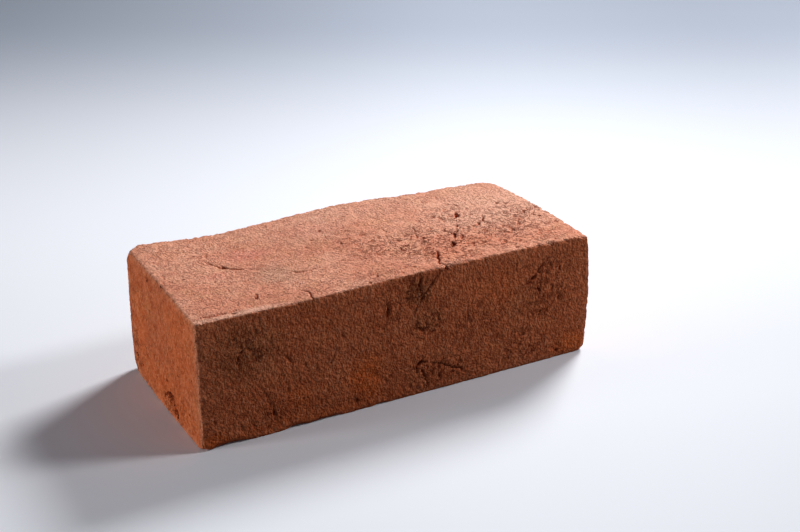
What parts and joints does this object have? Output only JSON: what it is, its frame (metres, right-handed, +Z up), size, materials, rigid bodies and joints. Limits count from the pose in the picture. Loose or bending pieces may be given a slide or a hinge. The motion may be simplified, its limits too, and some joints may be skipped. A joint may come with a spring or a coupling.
{
  "type": "solid clay brick",
  "caption": "Hand-moulded solid fired-clay brick with a sandy top, drying cracks, small pits and worn arrises, lying on its bed face.",
  "frame": {"origin": "middle of the bed face that the brick lies on, at the centre of the brick's outline in plan", "axes": "+X along the brick's length, +Y across its width away from the cracked long face, +Z up"},
  "size_m": [0.2349, 0.103, 0.0734],
  "materials": {
    "fired_clay": "matt, sandy orange-red fired clay"
  },
  "bodies": {
    "root": {"brick": "fired_clay"}
  },
  "joints": []
}
